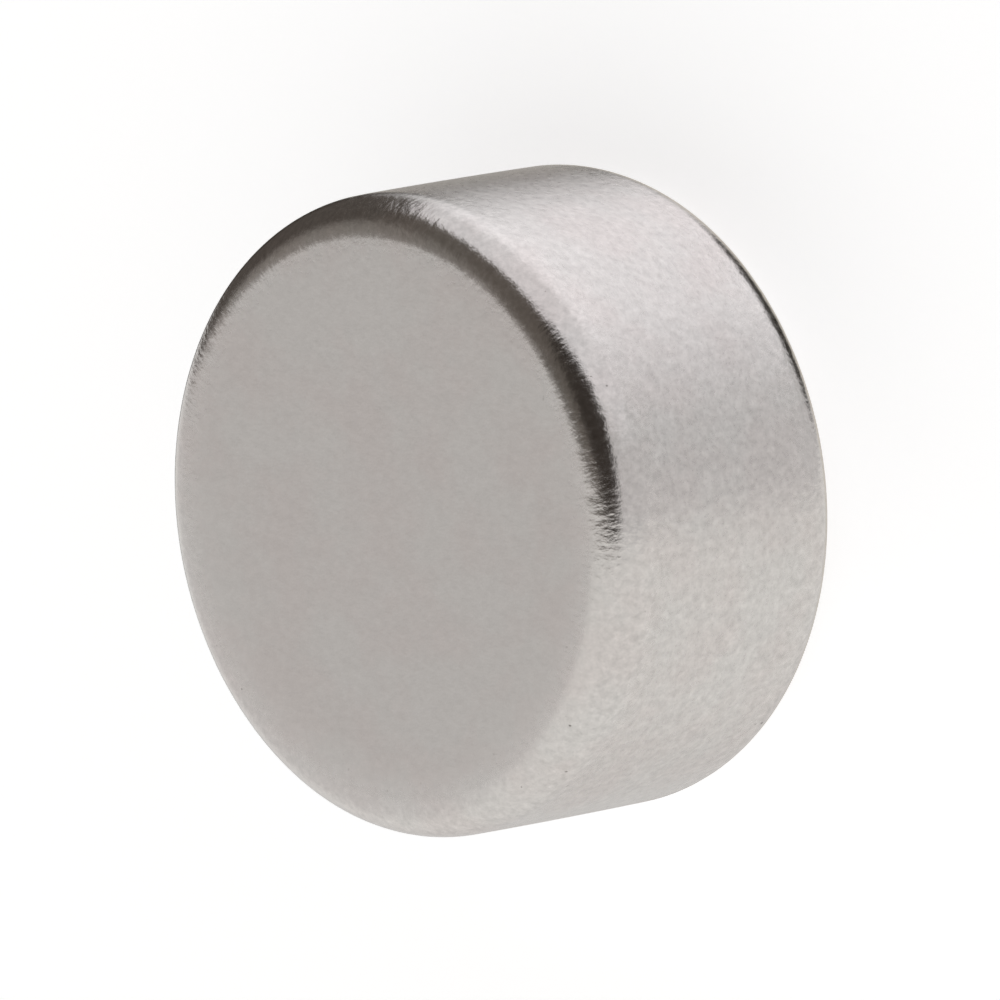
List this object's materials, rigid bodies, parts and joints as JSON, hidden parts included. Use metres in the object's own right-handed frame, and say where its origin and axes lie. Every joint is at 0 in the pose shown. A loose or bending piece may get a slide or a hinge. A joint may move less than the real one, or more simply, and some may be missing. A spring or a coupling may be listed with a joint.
{
  "type": "disc magnet",
  "caption": "Solid nickel-plated disc magnet, twice as wide as it is thick, with tumbled round edges and a flat pole face on each side.",
  "frame": {"origin": "centre of the flat face that the disc stands on", "axes": "+Z along the disc's axis, from the face it stands on to the face on top; X and Y lie in the bottom face and are any two radii at right angles"},
  "size_m": [0.01, 0.01, 0.005],
  "materials": {
    "satin_nickel": "satin nickel plate, fine grained, over a ground and tumbled disc"
  },
  "bodies": {
    "root": {"disc_magnet": "satin_nickel"}
  },
  "joints": []
}
